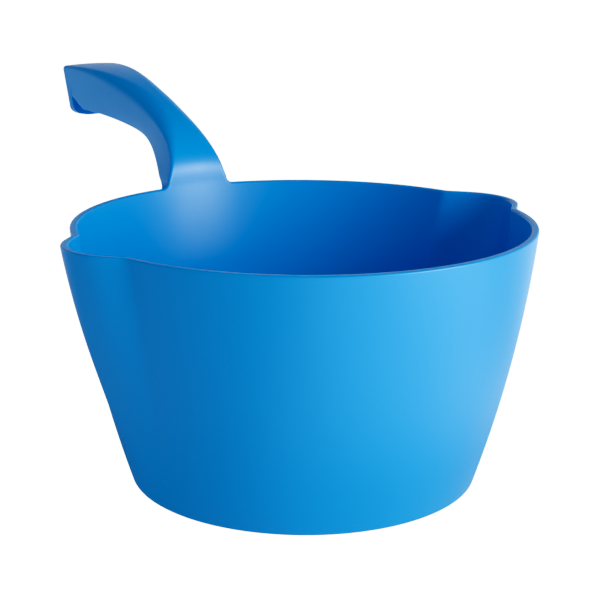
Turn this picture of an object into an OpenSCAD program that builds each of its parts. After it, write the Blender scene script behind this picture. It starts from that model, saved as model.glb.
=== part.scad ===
// Feed scoop: one moulded plastic shell. A tapered round bowl with two opposite
// pouring spouts, and a channel-section grip that grows out of the rim.
// +Z up, the base rests on z = 0, the grip runs along +X, the spouts face +Y and -Y.

/* [Bowl] */
// Outer diameter at the rim, spouts left out
rim_d = 190; // [170:1:210]
// Height from the base to the top of the rim
bowl_h = 107.5; // [90:0.5:125]
// Outer diameter where the wall meets the base
base_d = 144; // [120:0.5:160]
// How far the wall bows out of a straight taper at mid height
wall_bow = 3; // [0:0.5:5]
// Wall thickness
wall = 3; // [2.4:0.1:4]
// Thickness of the bowl's floor
floor_t = 3; // [2.4:0.1:5]
// Radius of the bottom outer edge
base_edge_r = 1.2; // [0.6:0.2:6]
// Radius of the corner between floor and wall, inside
floor_r = 7; // [4:0.5:14]

/* [Spouts] */
// Reach of each spout's lip from the bowl's axis
spout_reach = 105.4; // [99:0.2:110]
// Radius of the spout's curve at the rim
spout_r = 25; // [22:0.5:36]
// Reach of the spout's curve at the base, inside the wall there
spout_foot = 69; // [64:0.5:71]
// Radius of the spout's curve at the base
spout_foot_r = 27; // [18:0.5:34]
// How far the spout bows out at mid height
spout_bow = 4; // [0:0.5:6]
// Softness of the two valleys beside each spout, at the rim
valley_rim = 5; // [2:0.5:12]
// Softness of the same valleys at the base
valley_foot = 3.6; // [1:0.2:6]
// How much softer the valleys are inside the bowl
valley_in = 4; // [0:0.5:5]

/* [Grip] */
// Length of the grip along X, from its root on the rim to its tip
grip_len = 117; // [100:1:135]
// Height of the grip's tip above the rim
grip_rise = 44.8; // [38:0.2:55]
// Depth of the grip at its tip
grip_depth = 21.5; // [17:0.5:26]
// Width of the grip where it leaves the rim
grip_w_root = 33; // [30:0.5:42]
// Width of the grip at its waist
grip_w_waist = 19; // [17:0.5:28]
// Width of the grip at its tip
grip_w_tip = 30; // [26:0.5:38]
// Radius of the grip's long top edges at mid length
grip_edge_r = 8; // [3:0.5:10]
// Thickness of the grip's skin
grip_skin = 2.8; // [2.2:0.1:3.4]
// Depth of the hanging notch in front of the tip's lip
notch = 6; // [3:0.5:8]
// How far the lip at the tip hangs below the grip's sides
lip_drop = 4.4; // [1:0.2:5.4]
// How far the grip's face swells up across its tip
tip_crown = 0.6; // [0:0.2:2]

/* [Hidden] */

// ---- shared helpers ----
function mix(from, to, share) = from + (to - from) * share;
function bulge(amount, t) = 4 * amount * t * (1 - t);
// share of the span covered at u, kept within 0..1
function progress(u, start, span) = min(max((u - start) / span, 0), 1);
// the same share, eased at both ends
function ramp(u, start, span) = let (c = progress(u, start, span)) c * c * (3 - 2 * c);
// triangles joining closed rings of equal point count, one ring to the next
function tube_faces(ring_count, count) =
    [for (j = [0:ring_count - 2]) for (i = [0:count - 1])
        let (here = j * count + i, next = j * count + (i + 1) % count)
        each [[here, here + count, next], [next, here + count, next + count]]];

// ---- bowl: t runs from 0 at the base to 1 at the rim ----
rim_r = rim_d / 2;
base_r = base_d / 2;
rim_edge_r = min(0.8, wall * 0.3); // rounding of the rim's outer and inner edges
wall_rows = 7;
spout_span = 22;  // half angle of the finely stepped arc across each spout
spout_steps = 12; // steps in that half angle
side_steps = 32;  // steps between the two fine arcs

function round_wall_r(t, inset) = mix(base_r, rim_r, t) + bulge(wall_bow, t) - inset;
// the spout's section is a circle: its centre's distance from the axis, and its radius
function spout_centre(t) = mix(spout_foot - spout_foot_r, spout_reach - spout_r, t);
function spout_circle_r(t, inset) =
    mix(spout_foot_r, spout_r, t) + bulge(spout_bow, t) - inset;
// angle to the nearer spout's middle
function from_spout(azimuth) = abs((azimuth % 180 + 180) % 180 - 90);
// distance from the axis to the far side of a circle, 0 where the ray misses it
function lobe_r(angle, centre, radius) =
    let (square = radius * radius - pow(centre * sin(angle), 2))
    square > 0 ? centre * cos(angle) + sqrt(square) : 0;
function soft_max(a, b, softness) =
    let (overlap = max(softness - abs(a - b), 0) / softness)
    max(a, b) + overlap * overlap * softness / 4;
function shell_r(azimuth, z, inset) =
    let (t = z / bowl_h,
         spout = lobe_r(from_spout(azimuth), spout_centre(t), spout_circle_r(t, inset)),
         softness = mix(valley_foot, valley_rim, t) + (inset > 0 ? valley_in * t : 0))
    soft_max(round_wall_r(t, inset), spout, softness);

// rings up the outside and down the inside: [height, inset from outer skin, inward step]
outer_top = bowl_h - rim_edge_r;
floor_corner_top = floor_t + floor_r;
rings = concat(
    [for (b = [0:30:90]) [base_edge_r * (1 - cos(b)), 0, base_edge_r * (1 - sin(b))]],
    [for (i = [1:wall_rows]) [mix(base_edge_r, outer_top, i / wall_rows), 0, 0]],
    [for (b = [30:30:90]) [outer_top + rim_edge_r * sin(b), 0, rim_edge_r * (1 - cos(b))]],
    [for (b = [90:-30:0]) [outer_top + rim_edge_r * sin(b), wall, -rim_edge_r * (1 - cos(b))]],
    [for (i = [wall_rows - 1:-1:0])
        [mix(floor_corner_top, outer_top, i / wall_rows), wall, 0]],
    [for (b = [60:-20:0]) [floor_t + floor_r * (1 - cos(b)), wall, floor_r * (1 - sin(b))]]
);
azimuths = [for (spout = [90, 270]) each concat(
    [for (i = [-spout_steps:spout_steps - 1]) spout + spout_span * i / spout_steps],
    [for (i = [0:side_steps - 1])
        spout + spout_span + (180 - 2 * spout_span) * i / side_steps]
)];

module bowl() {
    count = len(azimuths);
    last_ring = (len(rings) - 1) * count;
    base_centre = len(rings) * count;
    floor_centre = base_centre + 1;
    points = concat(
        [for (ring = rings) for (a = azimuths)
            let (r = shell_r(a, ring[0], ring[1]) - ring[2])
            [r * cos(a), r * sin(a), ring[0]]],
        [[0, 0, 0], [0, 0, floor_t]]
    );
    underside = [for (i = [0:count - 1]) [base_centre, i, (i + 1) % count]];
    inner_floor = [for (i = [0:count - 1])
        [floor_centre, last_ring + (i + 1) % count, last_ring + i]];
    polyhedron(
        points = points,
        faces = concat(tube_faces(len(rings), count), underside, inner_floor)
    );
}

// ---- grip: u runs from 0 at the root to 1 at the tip ----
sink = 0.4;       // the root starts this far outside the wall's inner face
sink_gain = 0.5;  // added to that at the tongue's foot
seat = 0.35;      // the guide curves start this far below the rim's top
root_t = 5.5;     // thickness the guide curves have at the root
root_web = 3;     // fillet between the grip's sides and the rim
root_end_u = 0.055; // end of the closely spaced stations at the root
tongue = 7;       // how far the root reaches down inside the bowl's wall
tongue_top_t = root_t - 0.3;
tongue_foot_t = wall - 1.6;
curl_end_u = 0.35; // the plate is flat across from here on
waist_u = 0.48;
edge_root = 1.3;  // long top edges: radius at the root
edge_tip = 1.8;   // and at the tip
hollow_u = 0.13;  // the channel under the grip starts here
hollow_span = 0.12; // and reaches full depth over this stretch
notch_u = 0.93;   // the notch starts here
lip_t = 2.8;      // thickness of the lip at the tip
lip_u = 1 - lip_t / grip_len * 0.95; // the lip starts here
lip_corner = [9, 4.6]; // the lip's lower corners: width, depth
side_corner = [0.5, 0.5]; // lower corners of the grip's sides
tongue_corner = [0.4, 0.4];
tongue_edge_r = 0.7;

// two guide curves in the XZ plane: control points [x, z] of the crest and lower edge
root_x = sqrt(pow(rim_r - wall, 2) - pow(grip_w_root / 2, 2)) + sink;
tip = [root_x + grip_len, bowl_h + grip_rise];
crest = [
    [root_x, bowl_h - seat],
    [root_x - 0.024 * grip_len, bowl_h + 0.387 * grip_rise],
    [root_x + 0.147 * grip_len, bowl_h + 0.79 * grip_rise],
    [tip[0] - 0.5 * grip_len, tip[1] + 0.076 * grip_rise],
    tip
];
heel = [tip[0] - 0.364 * grip_depth, tip[1] - 0.942 * grip_depth];
keel = [
    [root_x + root_t, bowl_h - seat],
    [root_x + 0.255 * grip_len, bowl_h + 0.625 * grip_rise],
    [root_x + 0.348 * grip_len, heel[1] - 0.197 * grip_rise],
    [heel[0] - 0.429 * grip_len, heel[1] + 0.053 * grip_rise],
    heel
];
function bezier(p, u) =
    let (v = 1 - u)
    pow(v, 4) * p[0] + 4 * pow(v, 3) * u * p[1] + 6 * v * v * u * u * p[2]
    + 4 * v * pow(u, 3) * p[3] + pow(u, 4) * p[4];

function half_width(u) = grip_w_waist / 2 + (u < waist_u
    ? (grip_w_root - grip_w_waist) / 2 * pow((waist_u - u) / waist_u, 2)
    : (grip_w_tip - grip_w_waist) / 2 * pow((u - waist_u) / (1 - waist_u), 2));
// long top edges: crisp at the root, full at mid length, crisp again at the tip
function edge_radius(u) =
    let (to_tip = ramp(u, 0.62, 0.38))
    edge_root + (grip_edge_r - edge_root) * ramp(u, 0.12, 0.43) * (1 - to_tip)
    + (edge_tip - edge_root) * to_tip;
// extra half width of a fillet of radius r at height h above the rim
function web(h, r) = h >= r ? 0 : r - sqrt(r * r - pow(r - h, 2));
function notch_cut(u) = u < notch_u ? 0 : notch * pow((u - notch_u) / (lip_u - notch_u), 1.2);

// fields of a station, one cross-section of the grip
CREST = 0;   // crest point [x, z]
INWARD = 1;  // depth direction [x, z]
DEPTH = 2;
HALF_W = 3;
EDGE_R = 4;  // top edge radius
CORNER = 5;  // lower corner [width, depth]
CURL = 6;    // share of the bowl's curve the plate follows
CROWN = 7;   // swell of the face where there is no curl
HOLLOW = 8;  // share of the channel's full depth

// station h below the rim's top
function tongue_station(h) =
    let (z = bowl_h - h,
         half_w = grip_w_root / 2 + root_web,
         r = round_wall_r(z / bowl_h, wall) + sink + sink_gain * h / tongue,
         depth = mix(tongue_top_t, tongue_foot_t, ramp(h, 0, tongue)))
    [[sqrt(r * r - half_w * half_w), z], [1, 0], depth, half_w,
     tongue_edge_r, tongue_corner, 1, 0, 0];
function path_station(u, cut = 0, drop = 0, corner = side_corner, hollow = 0) =
    let (top = bezier(crest, u),
         across = bezier(keel, u) - top,
         depth = norm(across),
         half_w = half_width(u) + web(max(top[1] - bowl_h + seat, 0), root_web),
         edge_r = min(edge_radius(u), half_w - 0.5, depth - cut - 1.2))
    [top, across / depth, depth - cut + drop, half_w, edge_r, corner,
     pow(max(1 - u / curl_end_u, 0), 2), tip_crown * ramp(u, 0.55, 0.4), hollow];

path_us = concat(
    [for (i = [0:4]) root_end_u * i / 4],
    [for (i = [1:22]) mix(root_end_u, notch_u, i / 22)],
    [for (i = [1:5]) mix(notch_u, lip_u, i / 5)]
);
// the lip: [u, drop]; it starts just past the last notched station
lip_steps = [[lip_u + 0.0004, lip_drop], [(lip_u + 1) / 2, lip_drop], [1, lip_drop - 0.1]];
stations = concat(
    [for (h = [tongue, tongue * 0.6, 2]) tongue_station(h)],
    [for (u = path_us)
        path_station(u, cut = notch_cut(u), hollow = progress(u, hollow_u, hollow_span))],
    [for (s = lip_steps) path_station(s[0], drop = s[1], corner = lip_corner)]
);

// shift along the depth direction: the bowl's curve at the root, the crown farther out
function curl(s, y) =
    let (r = rim_r - wall)
    s[CURL] <= 0 ? -s[CROWN] * (1 - pow(y / s[HALF_W], 2))
    : (sqrt(r * r - y * y) - sqrt(r * r - pow(s[HALF_W], 2))) * s[CURL];
function place(s, y, depth) =
    let (p = s[CREST] + s[INWARD] * (depth + curl(s, y)))
    [p[0], y, p[1]];

// half outlines on the +Y side, as [y, depth] from the lower corner to near the middle
function over(s) =
    let (d = s[DEPTH], w = s[HALF_W], r = s[EDGE_R],
         corner_w = s[CORNER][0],
         corner_d = min(s[CORNER][1], (d - r) * 0.8))
    concat(
        [for (b = [0:30:90])
            [w - corner_w + corner_w * sin(b), d - corner_d + corner_d * cos(b)]],
        [for (b = [90:-15:15]) [w - r + r * sin(b), r - r * cos(b)]],
        [for (i = [3:-1:1]) [(w - r) * i / 3, 0]]
    );
function below(s) =
    let (d = s[DEPTH],
         w = max(s[HALF_W] - max(grip_skin, s[CORNER][0] + 0.3), 1),
         top = d - max(d - grip_skin, 0.2) * s[HOLLOW],
         r = max(min(s[EDGE_R] - grip_skin, d - top - 0.2, w - 0.3), 0.15))
    concat(
        [[w, d]],
        s[HOLLOW] <= 0 ? [for (i = [1:6]) [w * (1 - i / 7), d]]
        : concat([for (b = [90:-22.5:0]) [w - r + r * sin(b), top + r - r * cos(b)]],
                 [[(w - r) / 2, top]])
    );
function flip(half) = [for (p = half) [-p[0], p[1]]];
function backwards(half) = [for (i = [len(half) - 1:-1:0]) half[i]];
// closed outline: over the top from +Y to -Y, then back underneath
function section(s) =
    let (a = over(s), b = below(s))
    concat(a, [[0, 0]], backwards(flip(a)),
           flip(b), [[0, b[len(b) - 1][1]]], backwards(b));

module grip() {
    over_count = 2 * len(over(stations[0])) + 1;
    below_count = 2 * len(below(stations[0])) + 1;
    count = over_count + below_count;
    // each end is a strip between the over run of points and the below run
    function facing(i) =
        min(max(round((i - 1) * (below_count - 1) / (over_count - 3)), 0), below_count - 1);
    function end_strip(first) = [for (i = [0:over_count - 2])
        let (a = first + i,
             b = first + count - 1 - facing(i),
             c = first + count - 1 - facing(i + 1))
        each (b == c ? [[a, a + 1, b]] : [[a, a + 1, b], [a + 1, c, b]])];
    polyhedron(
        points = [for (s = stations) for (p = section(s)) place(s, p[0], p[1])],
        faces = concat(
            tube_faces(len(stations), count),
            end_strip(0),
            [for (f = end_strip((len(stations) - 1) * count)) backwards(f)]
        )
    );
}

module scoop() {
    color([0.02, 0.45, 0.78])
    union() {
        bowl();
        grip();
    }
}

scoop();
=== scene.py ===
# A blue plastic feed scoop: a round bowl with two spouts and one curved grip.
# The shape is drawn in mm, then fitted to the CAD box of the frame (metres).
# The bowl stands on z = 0 around the z axis, the spouts point along +y and -y, and the grip
# rises from the rim towards +x. Only the half y >= 0 is drawn; the other half is its mirror.
import math
import bmesh
import bpy
import numpy as np
from mathutils import Matrix, Vector


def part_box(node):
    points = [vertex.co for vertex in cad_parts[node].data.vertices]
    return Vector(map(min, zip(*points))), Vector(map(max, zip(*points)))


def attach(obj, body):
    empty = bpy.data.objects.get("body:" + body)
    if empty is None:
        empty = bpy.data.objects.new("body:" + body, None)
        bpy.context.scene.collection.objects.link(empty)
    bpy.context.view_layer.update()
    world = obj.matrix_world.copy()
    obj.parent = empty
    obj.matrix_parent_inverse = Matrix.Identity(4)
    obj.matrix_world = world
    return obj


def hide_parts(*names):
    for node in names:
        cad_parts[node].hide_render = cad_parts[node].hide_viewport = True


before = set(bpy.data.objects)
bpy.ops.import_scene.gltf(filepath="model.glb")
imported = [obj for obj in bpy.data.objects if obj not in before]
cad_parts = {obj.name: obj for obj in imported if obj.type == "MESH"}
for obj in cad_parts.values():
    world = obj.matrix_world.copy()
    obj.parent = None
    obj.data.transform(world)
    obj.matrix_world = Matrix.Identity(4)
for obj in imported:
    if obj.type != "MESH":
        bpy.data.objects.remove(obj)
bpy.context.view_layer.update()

low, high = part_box("scoop")

# ---------------------------------------------------------------- bowl sizes, mm
RIM_R, BASE_R, HEIGHT = 95.0, 72.0, 107.5
BOW = 3.0                                   # outward bulge of the wall at mid height
WALL, FLOOR = 3.0, 3.0                      # thicknesses
RIM_IN_R = RIM_R - WALL
BASE_ROUND, FLOOR_ROUND = 1.2, 7.0          # outer edge of the base, inner edge of the floor
RIM_ROUND_IN, RIM_ROUND_OUT = 0.8, 0.8
SPOUT_REACH, SPOUT_FOOT_REACH = 105.4, 69.0     # from the axis, at the rim and at the foot
SPOUT_R, SPOUT_FOOT_R, SPOUT_BOW = 25.0, 27.0, 4.0
VALLEY_RIM, VALLEY_FOOT = 5.0, 3.6          # softness of the valleys beside the spouts
VALLEY_IN = 4.0                             # extra softness inside, at the rim

# ---------------------------------------------------------------- grip sizes, mm
# A station u runs from 0 at the root to 1 at the tip.
GRIP_LEN, GRIP_RISE, GRIP_DEPTH = 117.0, 44.8, 21.5
ROOT_W, WAIST_W, TIP_W, WAIST_U = 33.0, 19.0, 30.0, 0.48
EDGE_ROOT, EDGE_MID, EDGE_TIP = 1.3, 8.0, 1.8   # rounding between the top face and the flanks
ROOT_FILLET = 3.0                           # fillet between the grip's edges and the rim
ROOT_DEPTH, ROOT_FADE = 5.5, 7.0            # thickness at the rim, and its fade below the rim
EASE_RISE = 13.0                            # the top face eases into the inner wall this far up
SKIN, HOLLOW_U = 2.8, 0.13                  # skin around the hollow underside, and its start
SWELL, CROWN = 0.45, 0.6                    # bulges of the flanks and of the top face
CORNER = 0.5                                # rounding of the underside's edges
NOTCH, NOTCH_U = 6.0, 0.93                  # the underside rises before the lip
LIP_T, LIP_DROP = 2.8, 4.4                  # end lip: thickness, drop below the keel
LIP_CORNER, LIP_CORNER_W = 4.6, 9.0         # its lower corners: height and width
LIP_GAP = 0.03                              # run of the step from the notch to the lip
TIP_ROUND = 0.7
LIP_END_U = 1 - LIP_T / GRIP_LEN * 0.95     # last hollow station, where the lip begins

# ---------------------------------------------------------------- mesh steps
TOP_STEPS, UNDER_STEPS = 14, 20             # half the top face, half the underside
ROUND_STEPS, FLANK_STEPS, CORNER_STEPS = 10, 5, 8
FILLET_STEPS, REST_STEPS = 9, 150           # root fillet, and on round the rim
WALL_ROWS, TOP_ROWS, TOP_ZONE = 19, 17, 24.0    # rows below and in the finer zone at the rim
GRIP_STATIONS = 118
SHARP_ANGLE = math.radians(38)
WELD = 3e-6                                 # metres


def mix(start, end, share):
    return start + (end - start) * share


def ramp(value, start, end):
    """smooth step: 0 at start, 1 at end, which may lie on either side"""
    share = np.clip((value - start) / (end - start), 0, 1)
    return share * share * (3 - 2 * share)


def arc(y, radius):
    """how far a circle falls back (negative) at y to the side of its front"""
    return np.sqrt(radius**2 - y * y) - radius


def polar(radius, azimuth, z):
    x, y = radius * np.cos(azimuth), radius * np.sin(azimuth)
    return np.stack(np.broadcast_arrays(x, y, z), -1)


def running_length(steps):
    return np.concatenate([[0], np.cumsum(steps)])


# ---------------------------------------------------------------- bowl shape
def wall_radius(z, inset):
    """radius of the round wall, without the spouts"""
    up = z / HEIGHT
    return mix(BASE_R, RIM_R, up) + 4 * BOW * up * (1 - up) - inset


def shell_radius(azimuth, z, inset):
    """radius of the bowl's skin, spouts included; azimuth in radians"""
    up = z / HEIGHT
    wall = wall_radius(z, inset)
    centre = mix(SPOUT_FOOT_REACH - SPOUT_FOOT_R, SPOUT_REACH - SPOUT_R, up)
    lobe_r = mix(SPOUT_FOOT_R, SPOUT_R, up) + 4 * SPOUT_BOW * up * (1 - up) - inset
    turn = np.abs(np.mod(azimuth, np.pi) - np.pi / 2)
    square = lobe_r * lobe_r - (centre * np.sin(turn)) ** 2
    lobe = np.where(square > 0, centre * np.cos(turn) + np.sqrt(np.maximum(square, 0)), 0)
    soft = mix(VALLEY_FOOT, VALLEY_RIM, up) + (VALLEY_IN * up if inset > 0 else 0)
    overlap = np.maximum(soft - np.abs(wall - lobe), 0) / soft
    return np.maximum(wall, lobe) + overlap * overlap * soft / 4


# ---------------------------------------------------------------- grip shape
root_x = math.sqrt(RIM_IN_R**2 - (ROOT_W / 2) ** 2) + 0.4
root_z = HEIGHT - 0.35
tip_x, tip_z = root_x + GRIP_LEN, HEIGHT + GRIP_RISE
heel_x, heel_z = tip_x - 0.364 * GRIP_DEPTH, tip_z - 0.942 * GRIP_DEPTH
# Bezier control points (x, z), root to tip: along the top edge, and along the lower edge
CREST = [
    (root_x, root_z),
    (root_x - 0.024 * GRIP_LEN, HEIGHT + 0.387 * GRIP_RISE),
    (root_x + 0.147 * GRIP_LEN, HEIGHT + 0.79 * GRIP_RISE),
    (tip_x - 0.5 * GRIP_LEN, tip_z + 0.076 * GRIP_RISE),
    (tip_x, tip_z),
]
KEEL = [
    (root_x + 5.5, root_z),
    (root_x + 0.255 * GRIP_LEN, HEIGHT + 0.625 * GRIP_RISE),
    (root_x + 0.348 * GRIP_LEN, heel_z - 0.197 * GRIP_RISE),
    (heel_x - 0.429 * GRIP_LEN, heel_z + 0.053 * GRIP_RISE),
    (heel_x, heel_z),
]


def bezier(controls, u):
    """points of a quartic Bezier curve"""
    u = u[:, None]
    terms = zip((1, 4, 6, 4, 1), np.array(controls))
    return sum(k * (1 - u) ** (4 - i) * u**i * point for i, (k, point) in enumerate(terms))


def half_width(u):
    to_root = np.maximum(WAIST_U - u, 0) / WAIST_U
    to_tip = np.maximum(u - WAIST_U, 0) / (1 - WAIST_U)
    return (WAIST_W + (ROOT_W - WAIST_W) * to_root**2 + (TIP_W - WAIST_W) * to_tip**2) / 2


def curl(u):
    """how much the top face follows the round of the bowl's inner wall"""
    return ramp(u, 0.42, 0.0)


def edge_round(u, depth):
    size = mix(mix(EDGE_ROOT, EDGE_MID, ramp(u, 0.12, 0.55)), EDGE_TIP, ramp(u, 0.62, 1.0))
    return np.minimum(np.minimum(size, half_width(u) - 0.5), depth - 1.2)


def notch_cut(u):
    return NOTCH * (np.maximum(u - NOTCH_U, 0) / (LIP_END_U - NOTCH_U)) ** 1.2


# centre line of the top face (y = 0), tabulated over u
U_TABLE = np.linspace(0, 1, 4001)
crest = bezier(CREST, U_TABLE)
across = bezier(KEEL, U_TABLE) - crest
raw_depth = np.linalg.norm(across, axis=1)
raw_dir = across / raw_depth[:, None]
sag = -curl(U_TABLE) * arc(half_width(U_TABLE), RIM_IN_R)
raw_line = crest + raw_dir * sag[:, None]
rise_table = raw_line[:, 1] - HEIGHT

# the lowest part is eased into the lean of the bowl's inner wall
ease_end = int(np.argmax(rise_table > EASE_RISE))
before, after = ease_end - 1, ease_end + 1
ease_end_x = raw_line[ease_end, 0]
ease_end_slope = ((raw_line[after, 0] - raw_line[before, 0])
                  / (rise_table[after] - rise_table[before]))
rim_slope = (RIM_R - BASE_R) / HEIGHT - 4 * BOW / HEIGHT


def eased_x(rise):
    """x of the centre line, from the wall's slope at the rim to the grip's own"""
    t = np.clip(rise / EASE_RISE, 0, 1)
    return ((2 * t**3 - 3 * t**2 + 1) * RIM_IN_R
            + (t**3 - 2 * t**2 + t) * rim_slope * EASE_RISE
            + (-2 * t**3 + 3 * t**2) * ease_end_x
            + (t**3 - t**2) * ease_end_slope * EASE_RISE)


is_eased = (rise_table < EASE_RISE) & (np.arange(len(U_TABLE)) <= ease_end)
line_x = np.where(is_eased, eased_x(rise_table), raw_line[:, 0])
depth_table = raw_depth + raw_line[:, 0] - line_x


def top_line(u):
    """centre point (x, z) of the top face, depth direction (x, z), depth"""
    x, z, dir_x, dir_z, depth = (
        np.interp(u, U_TABLE, table)
        for table in (line_x, raw_line[:, 1], raw_dir[:, 0], raw_dir[:, 1], depth_table))
    return np.array([x, z]), np.array([dir_x, dir_z]) / np.hypot(dir_x, dir_z), depth


# the first station of the grip, at the top of the root fillet
FIRST_U = float(np.interp(ROOT_FILLET, rise_table[:ease_end], U_TABLE[:ease_end]))
_, FIRST_DIR, FIRST_DEPTH = top_line(FIRST_U)
FIRST_HALF = float(half_width(FIRST_U))
FIRST_ROUND = float(edge_round(FIRST_U, FIRST_DEPTH))
ROOT_HALF = FIRST_HALF + ROOT_FILLET        # half width where the fillet meets the rim


def grip_points(u, y, depth):
    """points of the grip at station u"""
    point, down, _ = top_line(u)
    crown = CROWN * ramp(u, 0.55, 0.95) * (1 - (y / half_width(u)) ** 2)
    along = depth + curl(u) * arc(y, RIM_IN_R) - crown
    return np.stack([point[0] + down[0] * along, y, point[1] + down[1] * along], -1)


def root_points(y, rise, depth):
    """points near the root, up to the first station; rise is the height above the rim"""
    y, rise, depth = np.broadcast_arrays(y, rise, depth)
    up = np.clip(rise / ROOT_FILLET, 0, 1)
    wall = np.where(rise < 0, wall_radius(HEIGHT + rise, WALL), RIM_IN_R)
    along = depth + mix(arc(y, wall + depth), curl(FIRST_U) * arc(y, RIM_IN_R), up)
    dir_x, dir_z = mix(1, FIRST_DIR[0], up), FIRST_DIR[1] * up
    length = np.hypot(dir_x, dir_z)
    start_x = np.where(rise < 0, wall, eased_x(rise))
    return np.stack([start_x + along * dir_x / length, y,
                     HEIGHT + rise + along * dir_z / length], -1)


def root_depth(rise, y):
    """thickness near the root, fading to the wall's below the rim and across the fillet"""
    above = mix(ROOT_DEPTH, FIRST_DEPTH, np.clip(rise / ROOT_FILLET, 0, 1))
    below = mix(ROOT_DEPTH, WALL, ramp(rise, 0, -ROOT_FADE))
    full = np.where(rise > 0, above, below)
    return mix(WALL, full, ramp(np.abs(y), ROOT_HALF, FIRST_HALF))


# ---------------------------------------------------------------- columns of the bowl
# angles round the root fillet, from next to the grip's edge (90 degrees) down to the rim (0)
FILLET = np.radians(90 * (1 - np.arange(1, FILLET_STEPS + 1) / FILLET_STEPS))


def fillet_rounds(angle):
    """inner and outer rounding of the edge along the root fillet"""
    share = ramp(angle, 0, np.pi / 2)
    return mix(RIM_ROUND_IN, FIRST_ROUND, share), mix(RIM_ROUND_OUT, CORNER, share)


def root_tops(steps, inner_half, rounding):
    """(y, rise) of the top ends of the root's columns: grip, then fillet"""
    reach = ROOT_FILLET + rounding
    y = [np.linspace(0, inner_half, steps + 1), ROOT_HALF - reach * np.sin(FILLET)]
    rise = [np.full(steps + 1, ROOT_FILLET), ROOT_FILLET - reach * np.cos(FILLET)]
    return np.concatenate(y), np.concatenate(rise)


def bell(offset, width):
    return np.exp(-((offset / width) ** 2))


def rest_azimuths():
    """azimuths from the root fillet to 180 degrees, closer beside the spout and the fillet"""
    start = math.degrees(math.asin(ROOT_HALF / RIM_IN_R))
    x = np.linspace(start, 180.0, 2000)
    density = (1 + 1.1 * bell(np.abs(x - 90) - 17, 7) + 0.5 * bell(x - 90, 20)
               + 0.6 * bell(x - start, 6))
    total = running_length((density[1:] + density[:-1]) / 2)
    even = np.linspace(0, total[-1], REST_STEPS + 1)
    return np.radians(np.interp(even, total, x)[1:])


def outer_azimuth(azimuth):
    """outer column facing an inner one: same y near the root, same azimuth further round"""
    same_y = np.arcsin(np.clip(RIM_IN_R * np.sin(np.minimum(azimuth, 1.4)) / RIM_R, -1, 1))
    return mix(azimuth, same_y, ramp(np.degrees(azimuth), 44, 14))


def wall_heights(foot, top_rise):
    """row heights: even up the wall, then closing up towards the top edge"""
    shares = 1 - (1 - np.linspace(0, 1, TOP_ROWS)[1:]) ** 1.6
    return np.concatenate([np.linspace(foot, HEIGHT - TOP_ZONE, WALL_ROWS),
                           HEIGHT + mix(-TOP_ZONE, top_rise, shares)])


def wall_sheet(tops, top_depths, inset, azimuths, rim_rise, foot):
    """columns of one skin of the wall, from foot up to its top edge"""
    top_y, top_rise = tops
    rim_r = RIM_R - inset
    root_azimuths = np.arcsin(top_y / rim_r)
    even_azimuths = np.linspace(0, math.asin(ROOT_HALF / rim_r), len(top_y))
    root_bottom = -6 if inset else -ROOT_FADE - 1.5
    columns = []
    for i in range(len(top_y)):
        z = wall_heights(foot, top_rise[i])
        # the columns spread out evenly below the root
        azimuth = mix(root_azimuths[i], even_azimuths[i], ramp(z, HEIGHT - 3, HEIGHT - 43))
        radius = shell_radius(azimuth, np.minimum(z, HEIGHT), inset)
        column = polar(radius, azimuth, z)
        rise = z - HEIGHT
        y = column[:, 1]
        root = root_points(y, rise, 0 if inset else root_depth(rise, y))
        is_root = rise > root_bottom
        column[is_root] = root[is_root]
        column[-1] = root_points(top_y[i], top_rise[i], top_depths[i])
        columns.append(column)
    z = wall_heights(foot, rim_rise)
    columns += [polar(shell_radius(azimuth, z, inset), azimuth, z) for azimuth in azimuths]
    return np.array(columns)


def close_to_axis(columns, base_z, inset, rounding, step):
    """closes a skin at the bottom: a rounded corner in steps of degrees, then flat rings"""
    azimuth = np.arctan2(columns[:, 0, 1], columns[:, 0, 0])
    rows = [columns[:, 0]]
    for angle in np.radians(np.arange(90 - step, -1, -step)):
        z = base_z + rounding * (1 - math.cos(angle))
        radius = shell_radius(azimuth, z, inset) - rounding * (1 - math.sin(angle))
        rows.append(polar(radius, azimuth, z))
    # the outline grows rounder towards the centre
    for share in (0.97, 0.93, 0.87, 0.8, 0.72, 0.63, 0.53, 0.43, 0.33, 0.23, 0.13, 0.05, 0.0):
        rows.append(polar(share * mix(radius.min(), radius, share), azimuth, z))
    return np.array(rows)


def edge_profile(top_round, thick, low_round, low_width):
    """(outward, depth) across an edge, from one skin to the other; outward is 0 or less"""
    top = np.linspace(0, np.pi / 2, ROUND_STEPS + 1)
    lower = np.linspace(0, np.pi / 2, CORNER_STEPS + 1)
    flat = np.linspace(top_round, thick - low_round, FLANK_STEPS + 1)[1:-1]
    outward = [top_round * (np.sin(top) - 1), 0 * flat, low_width * (np.cos(lower) - 1)]
    depth = [top_round * (1 - np.cos(top)), flat, thick + low_round * (np.sin(lower) - 1)]
    return np.concatenate(outward), np.concatenate(depth)


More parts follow.
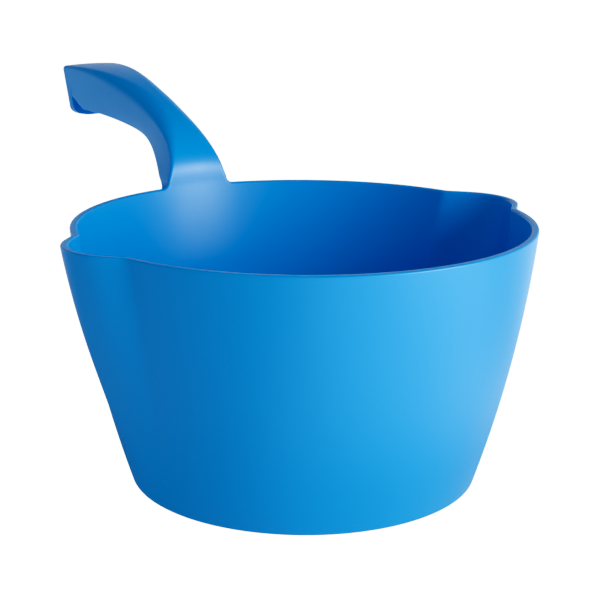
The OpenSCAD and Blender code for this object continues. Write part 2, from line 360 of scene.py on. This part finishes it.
def rim_strip(azimuths):
    """the edge between the skins: the root fillet, then the rim round to the far side"""
    columns = []
    for angle in (np.pi / 2, *FILLET):
        inner, outer = fillet_rounds(angle)
        sine, cosine = math.sin(angle), math.cos(angle)
        y, rise = FIRST_HALF + ROOT_FILLET * (1 - sine), ROOT_FILLET * (1 - cosine)
        # thickness is taken where the outer rounding ends
        thick = root_depth(rise - outer * cosine, y - outer * sine)
        outward, depth = edge_profile(inner, thick, outer, outer)
        columns.append(root_points(y + outward * sine, rise + outward * cosine, depth))
    outward, depth = edge_profile(RIM_ROUND_IN, WALL, RIM_ROUND_OUT, RIM_ROUND_OUT)
    share = depth / WALL
    z = HEIGHT + outward
    for inner_azimuth in azimuths:
        azimuth = mix(inner_azimuth, outer_azimuth(inner_azimuth), share)
        radius = mix(shell_radius(azimuth, z, WALL), shell_radius(azimuth, z, 0.0), share)
        columns.append(polar(radius, azimuth, z))
    return np.array(columns)


# ---------------------------------------------------------------- sections of the grip
def hollow_underside(half, thick, top_round):
    """(y, depth) from the flank's lower edge, up inside the skin and in to the centre"""
    inside = half - SKIN
    bend = max(min(top_round - SKIN, thick - SKIN - 0.6, inside - 0.3), 0.4)
    corner = np.radians([45, 90])
    curve = np.radians(np.linspace(90, 0, 8)[1:])
    y = [np.linspace(half - CORNER, inside + CORNER, 3)[1:],
         inside + CORNER * (1 - np.sin(corner)),
         np.full(5, inside),
         inside - bend * (1 - np.sin(curve)),
         np.linspace(inside - bend, 0, 5)[1:]]
    depth = [np.full(2, thick),
             thick - CORNER * (1 - np.cos(corner)),
             np.linspace(thick - CORNER, SKIN + bend, 6)[1:],
             SKIN + bend * (1 - np.cos(curve)),
             np.full(4, SKIN)]
    return np.concatenate(y), np.concatenate(depth)


def half_section(u, lip=False):
    """(y, depth) of the top face from the centre, the flank, and the underside back"""
    half, depth = float(half_width(u)), float(top_line(u)[2])
    if lip:
        thick, corner, corner_w = depth + LIP_DROP, LIP_CORNER, LIP_CORNER_W
    else:
        thick, corner, corner_w = depth - float(notch_cut(u)), CORNER, CORNER
    top_round = max(float(edge_round(u, thick)), 0.6)
    outward, flank_depth = edge_profile(top_round, thick, corner, corner_w)
    # the flank bulges most halfway down, and not at all at the grip's ends
    down = np.clip((flank_depth - top_round) / max(thick - corner - top_round, 1.0), 0, 1)
    swell = SWELL * ramp(u, 0.05, 0.30) * ramp(u, 1.0, 0.88)
    flank_y = half + outward + swell * (1 - (2 * down - 1) ** 2)
    under_y = np.linspace(half - corner_w, 0, UNDER_STEPS + 1)[1:]
    under_depth = np.full(UNDER_STEPS, thick)
    if not lip:
        hollow = ramp(u, HOLLOW_U, HOLLOW_U + 0.14)
        hollow_y, hollow_depth = hollow_underside(half, thick, top_round)
        under_y = mix(under_y, hollow_y, hollow)
        under_depth = mix(under_depth, hollow_depth, hollow)
    top_y = np.linspace(0, half - top_round, TOP_STEPS, endpoint=False)
    return (np.concatenate([top_y, flank_y, under_y]),
            np.concatenate([np.zeros(TOP_STEPS), flank_depth, under_depth]))


def grip_rows():
    """sections from the top of the root fillet to the rounded tip"""
    length = running_length(np.linalg.norm(np.diff(raw_line, axis=0), axis=1))
    first, last = np.interp([FIRST_U, LIP_END_U], U_TABLE, length)
    stations = np.interp(np.linspace(first, last, GRIP_STATIONS), length, U_TABLE)
    rows = [grip_points(u, *half_section(u)) for u in stations]
    for u in (LIP_END_U + LIP_GAP / GRIP_LEN, LIP_END_U + 0.008, (LIP_END_U + 1) / 2):
        rows.append(grip_points(u, *half_section(u, lip=True)))
    y, depth = half_section(1.0, lip=True)
    middle = depth.max() / 2
    for angle in np.radians([0, 30, 60, 90]):
        inset = TIP_ROUND * (1 - math.cos(angle))
        u = 1 - TIP_ROUND / GRIP_LEN * (1 - math.sin(angle)) * 0.93
        tip_depth = middle + (depth - middle) * (1 - inset / middle)
        rows.append(grip_points(u, y * (1 - inset / y.max()), tip_depth))
    return np.array(rows)


# ---------------------------------------------------------------- mesh
def scoop_patches():
    """grids of points for the half y >= 0; the last one is the grip"""
    rest = rest_azimuths()
    round_in, round_out = fillet_rounds(FILLET)
    inner_tops = root_tops(TOP_STEPS, FIRST_HALF - FIRST_ROUND, round_in)
    outer_tops = root_tops(UNDER_STEPS, FIRST_HALF - CORNER, round_out)
    outer_y, outer_rise = outer_tops
    inner = wall_sheet(inner_tops, np.zeros(len(inner_tops[0])), WALL, rest,
                       rim_rise=-RIM_ROUND_IN, foot=FLOOR + FLOOR_ROUND)
    outer = wall_sheet(outer_tops, root_depth(outer_rise, outer_y), 0.0, outer_azimuth(rest),
                       rim_rise=-RIM_ROUND_OUT, foot=BASE_ROUND)
    return [
        inner,
        outer[::-1],
        close_to_axis(inner, FLOOR, WALL, FLOOR_ROUND, step=10),
        close_to_axis(outer, 0.0, 0.0, BASE_ROUND, step=11.25)[::-1],
        rim_strip(rest)[:, ::-1],
        grip_rows(),
    ]


def fit_to_box(patches):
    """scales the patches from mm to the CAD box"""
    points = np.concatenate([patch.reshape(-1, 3) for patch in patches])
    start, end = points.min(0), points.max(0)
    start[1] = -end[1]
    scale = (np.array(high) - np.array(low)) / (end - start)
    fitted = []
    for patch in patches:
        moved = (patch - start) * scale + np.array(low)
        moved[..., 1] = patch[..., 1] * scale[1]
        fitted.append(moved)
    return fitted


def add_grid(mesh, points, side):
    """side: 1 as drawn, -1 mirrored across y = 0"""
    grid = [[mesh.verts.new(point) for point in row] for row in points * (1, side, 1)]
    for row, following in zip(grid, grid[1:]):
        for j in range(len(row) - 1):
            corners = [row[j], following[j], following[j + 1], row[j + 1]]
            mesh.faces.new(corners if side > 0 else corners[::-1])


def build_scoop():
    patches = fit_to_box(scoop_patches())
    mesh = bmesh.new()
    for patch in patches:
        for side in (1, -1):
            add_grid(mesh, patch, side)
    # one face closes the tip of the grip
    end = patches[-1][-1]
    outline = [*end, *(end[::-1][1:-1] * (1, -1, 1))]
    mesh.faces.new([mesh.verts.new(point) for point in outline])
    bmesh.ops.remove_doubles(mesh, verts=mesh.verts, dist=WELD)
    bmesh.ops.dissolve_degenerate(mesh, edges=mesh.edges, dist=1e-6)
    bmesh.ops.recalc_face_normals(mesh, faces=mesh.faces)
    for face in mesh.faces:
        face.smooth = True
    for edge in mesh.edges:
        if len(edge.link_faces) == 2 and edge.calc_face_angle(0) > SHARP_ANGLE:
            edge.smooth = False
    return add_object("feed_scoop", mesh)


def add_object(name, mesh):
    data = bpy.data.meshes.new(name)
    mesh.to_mesh(data)
    mesh.free()
    thing = bpy.data.objects.new(name, data)
    bpy.context.scene.collection.objects.link(thing)
    return thing


# ---------------------------------------------------------------- shader nodes
class Nodes:
    """an emptied node tree of a material or world, with short ways to add nodes"""

    def __init__(self, owner):
        owner.use_nodes = True
        self.tree = owner.node_tree
        self.tree.nodes.clear()

    def add(self, kind, inputs=None, **settings):
        """inputs: sockets to link, or values to set, by input name or index"""
        node = self.tree.nodes.new(kind)
        for name, value in settings.items():
            setattr(node, name, value)
        for socket, value in (inputs or {}).items():
            if isinstance(value, bpy.types.NodeSocket):
                self.tree.links.new(value, node.inputs[socket])
            else:
                node.inputs[socket].default_value = value
        return node

    def calc(self, operation, *values):
        return self.add("ShaderNodeMath", dict(enumerate(values)), operation=operation).outputs[0]

    def fade(self, source, start, end, at_start, at_end):
        """smooth step of source from start to end"""
        values = dict(enumerate((source, start, end, at_start, at_end)))
        return self.add("ShaderNodeMapRange", values, interpolation_type="SMOOTHSTEP").outputs[0]

    def dot(self, source, axis):
        inputs = {0: source, 1: axis}
        return self.add("ShaderNodeVectorMath", inputs, operation="DOT_PRODUCT").outputs["Value"]


def satin_plastic():
    material = bpy.data.materials.new("satin_blue_plastic")
    nodes = Nodes(material)
    place = nodes.add("ShaderNodeTexCoord").outputs["Object"]

    def noise(scale, detail, roughness, stretch=None):
        source = place
        if stretch:
            mapping = nodes.add("ShaderNodeMapping", {"Vector": source, "Scale": stretch})
            source = mapping.outputs["Vector"]
        return nodes.add("ShaderNodeTexNoise", {
            "Vector": source, "Scale": scale, "Detail": detail, "Roughness": roughness,
        }).outputs["Fac"]

    # pigment: slow drift between two blues
    flow = noise(scale=9.0, detail=3.0, roughness=0.5, stretch=(1.0, 1.0, 0.45))
    pigment = nodes.add("ShaderNodeValToRGB", {"Fac": flow})
    stops = ((0.3, (0.0, 0.262, 0.745, 1)), (0.7, (0.0, 0.278, 0.785, 1)))
    for element, (position, colour) in zip(pigment.color_ramp.elements, stops):
        element.position = position
        element.color = colour
    # roughness: satin skin with faint handling marks
    satin = 0.42
    marks = noise(scale=46.0, detail=6.0, roughness=0.62, stretch=(1.0, 1.0, 0.22))
    fine = noise(scale=900.0, detail=2.0, roughness=0.6)
    roughness = nodes.calc("ADD", nodes.calc("MULTIPLY_ADD", marks, 0.10, satin - 0.05),
                           nodes.calc("MULTIPLY_ADD", fine, 0.05, -0.025))
    # bump: moulded grain, then very shallow waves of the skin
    grain = nodes.add("ShaderNodeBump", {
        "Strength": 0.10, "Distance": 0.0002,
        "Height": noise(scale=1500.0, detail=2.0, roughness=0.55)})
    waves = nodes.add("ShaderNodeBump", {
        "Strength": 0.25, "Distance": 0.0006,
        "Height": noise(scale=30.0, detail=2.0, roughness=0.5),
        "Normal": grain.outputs["Normal"]})
    surface = nodes.add("ShaderNodeBsdfPrincipled", {
        "Base Color": pigment.outputs["Color"],
        "Roughness": roughness,
        "Normal": waves.outputs["Normal"],
        "IOR": 1.49,
        "Specular IOR Level": 0.5,
        "Subsurface Weight": 0.05,
        "Subsurface Radius": (0.2, 0.8, 1.4),
        "Subsurface Scale": 0.0016,
        "Sheen Weight": 0.0,
        "Sheen Roughness": 0.45,
        "Sheen Tint": (0.75, 0.9, 1.0, 1),
    })
    nodes.add("ShaderNodeOutputMaterial", {"Surface": surface.outputs["BSDF"]})
    return material


# ---------------------------------------------------------------- studio
VIEW_AZIMUTH = math.radians(-32.16)
KEY_ANGLE = math.radians(60)                # to the viewer's right, seen from the scoop
AWAY = Vector((math.cos(VIEW_AZIMUTH), math.sin(VIEW_AZIMUTH), 0))  # from the viewer, level
RIGHT = Vector((AWAY.y, -AWAY.x, 0))                                # the viewer's right
TO_KEY = RIGHT * math.sin(KEY_ANGLE) - AWAY * math.cos(KEY_ANGLE)   # towards the key light
KEY_SIDE = Vector((-TO_KEY.y, TO_KEY.x, 0))


def floor_material():
    """white to the camera; to other rays it glows with painted light that varies with the place
    (metres)
    """
    material = bpy.data.materials.new("pale_floor")
    nodes = Nodes(material)
    calc, fade = nodes.calc, nodes.fade
    spot = nodes.add("ShaderNodeNewGeometry").outputs["Position"]
    away, right = nodes.dot(spot, AWAY), nodes.dot(spot, RIGHT)
    distance = nodes.add("ShaderNodeVectorMath", {0: spot}, operation="LENGTH").outputs["Value"]
    # diffuse rays: painted fill light, brighter far from the viewer, with a painted contact shadow a
    # little next to the scoop
    painted_fill_level = fade(away, 0.05, 0.9, at_start=0.35, at_end=0.70)
    # painted contact shadow beside the scoop, with painted fill light stronger to the viewer's left
    painted_contact_shadow = calc("MULTIPLY", fade(distance, 0.07, 0.20, at_start=0.98, at_end=1.0),
                   fade(right, -0.12, 0.16, at_start=1.16, at_end=0.72))
    # glossy rays: a painted reflection, brighter to the right, with painted shade at the base
    near = calc("MULTIPLY", fade(right, -0.07, 0.11, at_start=0.13, at_end=2.05),
                fade(away, -0.10, 0.08, at_start=1.0, at_end=0.32))
    near = calc("MULTIPLY", near, fade(distance, 0.085, 0.16, at_start=0.3, at_end=1.0))
    # plus a painted pool of light, a bright wedge out under the key light
    along = nodes.dot(spot, TO_KEY)
    across = calc("ABSOLUTE", calc("DIVIDE", nodes.dot(spot, KEY_SIDE),
                                   calc("MAXIMUM", along, 0.05)))
    painted_key_wedge = calc("MULTIPLY", fade(across, 0.15, 0.75, at_start=1.0, at_end=0.0),
                 fade(along, 0.12, 0.45, at_start=0.0, at_end=1.0))
    painted_key_wedge = calc("MULTIPLY", painted_key_wedge, 1.0)
    # plus a painted reflection band behind the scoop
    painted_back_band = calc("MULTIPLY", fade(away, 0.06, 0.36, at_start=0.0, at_end=0.58),
                fade(away, 0.34, 0.80, at_start=1.0, at_end=0.5))
    # all the painted reflections that glossy rays see in the floor
    mirrored = calc("ADD", calc("ADD", near, painted_key_wedge), painted_back_band)

    rays = nodes.add("ShaderNodeLightPath")
    camera_ray, glossy_ray = rays.outputs["Is Camera Ray"], rays.outputs["Is Glossy Ray"]
    # painted light: the floor glows with painted reflections for glossy rays, and painted fill and
    # contact shadow for the rest
    seen = calc("MAXIMUM", calc("MULTIPLY", glossy_ray, mirrored),
                calc("MULTIPLY", calc("SUBTRACT", 1.0, glossy_ray),
                     calc("MULTIPLY", painted_fill_level, painted_contact_shadow)))
    strength = calc("ADD", calc("MULTIPLY", camera_ray, 1.0),
                    calc("MULTIPLY", calc("SUBTRACT", 1.0, camera_ray), seen))
    diffuse = nodes.add("ShaderNodeBsdfDiffuse", {"Color": (0.08, 0.08, 0.08, 1)})
    emission = nodes.add("ShaderNodeEmission", {"Color": (1, 1, 1, 1), "Strength": strength})
    both = nodes.add("ShaderNodeAddShader", {0: diffuse.outputs[0], 1: emission.outputs[0]})
    nodes.add("ShaderNodeOutputMaterial", {"Surface": both.outputs[0]})
    material.cycles.emission_sampling = "NONE"
    return material


def build_floor():
    mesh = bmesh.new()
    bmesh.ops.create_grid(mesh, x_segments=8, y_segments=8, size=6.0)
    floor = add_object("floor", mesh)
    floor.location.z = low.z - 0.0004       # just clear of the base
    floor.data.materials.append(floor_material())


def build_world():
    """white to the camera; as a light, brightest low down and away from the viewer"""
    world = bpy.data.worlds.new("studio")
    nodes = Nodes(world)
    direction = nodes.add("ShaderNodeTexCoord").outputs["Generated"]
    level = nodes.fade(nodes.dot(direction, AWAY), -0.15, 0.75, at_start=0.255, at_end=0.85)
    lowness = nodes.fade(nodes.dot(direction, (0, 0, 1)), 0.05, 0.50, at_start=1.0, at_end=0.0)
    overhead = nodes.calc("MULTIPLY", nodes.calc("SUBTRACT", 1.0, lowness), 0.13)
    light = nodes.add("ShaderNodeBackground", {
        "Color": (0.96, 0.98, 1.0, 1),
        "Strength": nodes.calc("MULTIPLY_ADD", level, lowness, overhead)})
    white = nodes.add("ShaderNodeBackground", {"Color": (1, 1, 1, 1), "Strength": 1.0})
    camera_ray = nodes.add("ShaderNodeLightPath").outputs["Is Camera Ray"]
    either = nodes.add("ShaderNodeMixShader", {
        0: camera_ray, 1: light.outputs[0], 2: white.outputs[0]})
    nodes.add("ShaderNodeOutputWorld", {"Surface": either.outputs[0]})
    bpy.context.scene.world = world


def build_camera():
    """returns the camera's level directions: forward and right"""
    eye = Vector((-0.5091, 0.3219, 0.2328))
    azimuth, pitch, roll = math.radians(-32.145), math.radians(14.77), math.radians(0.30)
    forward = Vector((math.cos(azimuth) * math.cos(pitch),
                      math.sin(azimuth) * math.cos(pitch), -math.sin(pitch)))
    level_right = forward.cross(Vector((0, 0, 1))).normalized()
    level_up = level_right.cross(forward)
    right = level_right * math.cos(roll) + level_up * math.sin(roll)
    up = level_up * math.cos(roll) - level_right * math.sin(roll)
    data = bpy.data.cameras.new("camera")
    data.sensor_width = 36
    data.lens = 90.25
    data.clip_start = 0.02
    data.clip_end = 20
    camera = bpy.data.objects.new("camera", data)
    turn = Matrix((right, up, -forward)).transposed().to_4x4()
    camera.matrix_world = Matrix.Translation(eye) @ turn
    bpy.context.scene.collection.objects.link(camera)
    bpy.context.scene.camera = camera
    return Vector((forward.x, forward.y, 0)).normalized(), Vector((right.x, right.y, 0)).normalized()


def softbox(name, view, angle, distance, height, size, power, colour=(1, 1, 1)):
    """area light aimed at the scoop; angle in degrees to the right of straight at the viewer"""
    forward, right = view
    centre = Vector((0.02, 0, 0.06))
    angle = math.radians(angle)
    data = bpy.data.lights.new(name, "AREA")
    data.shape = "RECTANGLE"
    data.size, data.size_y = size
    data.energy = power
    data.color = colour
    light = bpy.data.objects.new(name, data)
    place = centre + (right * math.sin(angle) - forward * math.cos(angle)) * distance
    place.z = height
    light.location = place
    light.rotation_mode = "QUATERNION"
    light.rotation_quaternion = (centre - place).to_track_quat("-Z", "Y")
    bpy.context.scene.collection.objects.link(light)
    return light


def set_response():
    """a camera-like response: firm shadows, soft shoulder, blue lifted in the darks"""
    settings = bpy.context.scene.view_settings
    settings.view_transform = "Standard"
    settings.look = "None"
    settings.exposure = 0.0
    settings.gamma = 1.0
    settings.use_curve_mapping = True
    response = settings.curve_mapping
    response.initialize()
    response.black_level = (0.012, 0.0, 0.0)
    knee, power = 0.40, 1.30
    combined, blue = response.curves[3], response.curves[2]
    for x in (0.02, 0.05, 0.1, 0.17, 0.26, 0.38, 0.52, 0.68, 0.84):
        combined.points.new(x, (1 + knee) * x**power / (x**power + knee))
    for x, y in ((0.05, 0.060), (0.12, 0.146), (0.25, 0.282), (0.38, 0.402), (0.50, 0.508),
                 (0.65, 0.652), (0.85, 0.851)):
        blue.points.new(x, y)
    for curve in (combined, blue):
        for point in curve.points:
            point.handle_type = "AUTO_CLAMPED"
    response.update()


# ---------------------------------------------------------------- build
scoop = build_scoop()
plastic = satin_plastic()
scoop.data.materials.append(plastic)
cad_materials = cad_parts["scoop"].data.materials
cad_materials.clear()
cad_materials.append(plastic)
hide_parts("scoop")
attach(scoop, "root")

build_floor()
build_world()
view = build_camera()
key = softbox("key", view, angle=54, distance=1.5, height=0.50, size=(1.0, 0.95), power=15.4,
              colour=(1.0, 0.99, 0.975))
key.visible_glossy = False                  # the glow below is its reflection
glow = softbox("glow", view, angle=61, distance=1.5, height=0.24, size=(0.62, 0.38), power=16.0)
glow.visible_diffuse = False
set_response()
